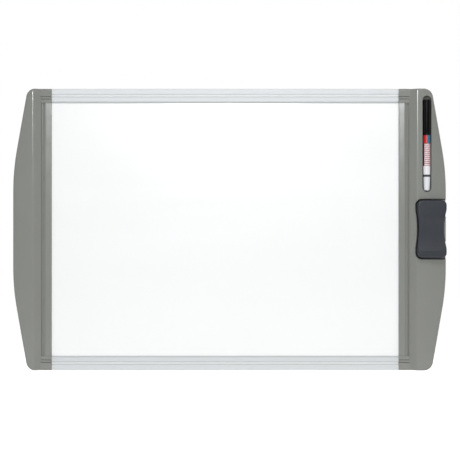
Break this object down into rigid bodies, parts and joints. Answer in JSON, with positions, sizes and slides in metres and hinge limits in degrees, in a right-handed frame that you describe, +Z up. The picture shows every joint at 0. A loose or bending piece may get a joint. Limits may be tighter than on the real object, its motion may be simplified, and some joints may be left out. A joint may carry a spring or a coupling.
{
  "type": "wall whiteboard",
  "caption": "Small wall whiteboard with aluminium rails, wide moulded end caps, a marker in a slot and a waisted eraser in a dock; marker, its cap and eraser lift off.",
  "frame": {"origin": "centre of the four keyholes, on the wall plane behind the board's middle", "axes": "+X to the right along the rails, +Y into the wall, +Z up; the writing surface faces -Y"},
  "size_m": [0.61, 0.0335, 0.397],
  "materials": {
    "white_enamel": "white gloss dry-erase enamel on steel",
    "fibre_board": "brown fibre core",
    "zinc_sheet": "thin galvanised steel sheet",
    "rail_aluminium": "satin silver extrusion",
    "grey_plastic": "satin moulded grey plastic",
    "cover_plastic": "matt moulded grey plastic",
    "zinc_screw": "zinc-plated steel",
    "hanger_steel": "zinc-plated steel plate",
    "marker_white": "white gloss moulding",
    "marker_black": "black gloss moulding",
    "label_film": null,
    "nib_felt": "pressed fibre, inked black",
    "reservoir_fibre": "ink-soaked fibre",
    "soft_seal": "soft seal",
    "slate_plastic": "satin slate moulding",
    "black_felt": "dense black felt",
    "magnet": "nickel-plated disc magnet"
  },
  "bodies": {
    "board": {"writing_sheet": "white_enamel", "core_board": "fibre_board", "backing_sheet": "zinc_sheet", "top_rail": "rail_aluminium", "bottom_rail": "rail_aluminium", "left_end_cap": "grey_plastic", "right_end_cap": "grey_plastic", "left_back_cover": "cover_plastic", "right_back_cover": "cover_plastic", "rail_screws": "zinc_screw", "left_cover_screws": "zinc_screw", "right_cover_screws": "zinc_screw", "hanger_plates": "hanger_steel", "hanger_screws": "zinc_screw", "dock_plate": "hanger_steel"},
    "marker": {"marker_barrel": "marker_white", "marker_label": "label_film", "marker_ring": "marker_black", "marker_tail_plug": "marker_white", "marker_nib_holder": "marker_black", "marker_nib": "nib_felt", "marker_ink_reservoir": "reservoir_fibre"},
    "marker_lid": {"marker_cap": "marker_black", "marker_cap_seal": "soft_seal"},
    "eraser": {"eraser_shell": "slate_plastic", "eraser_base_plate": "slate_plastic", "eraser_felt": "black_felt", "eraser_magnets": "magnet"}
  },
  "joints": [
    {"name": "marker_lift", "type": "slide", "parent": "board", "child": "marker", "axis": [0, -1, 0], "range_m": [0, 0.1]},
    {"name": "marker_cap_pull", "type": "slide", "parent": "marker", "child": "marker_lid", "axis": [0, 0, 1], "range_m": [0, 0.045]},
    {"name": "eraser_lift", "type": "slide", "parent": "board", "child": "eraser", "axis": [0, -1, 0], "range_m": [0, 0.06]}
  ],
  "couplings": [
    {"joint": "marker_cap_pull", "follows": "marker_lift", "ratio": 0.45}
  ]
}
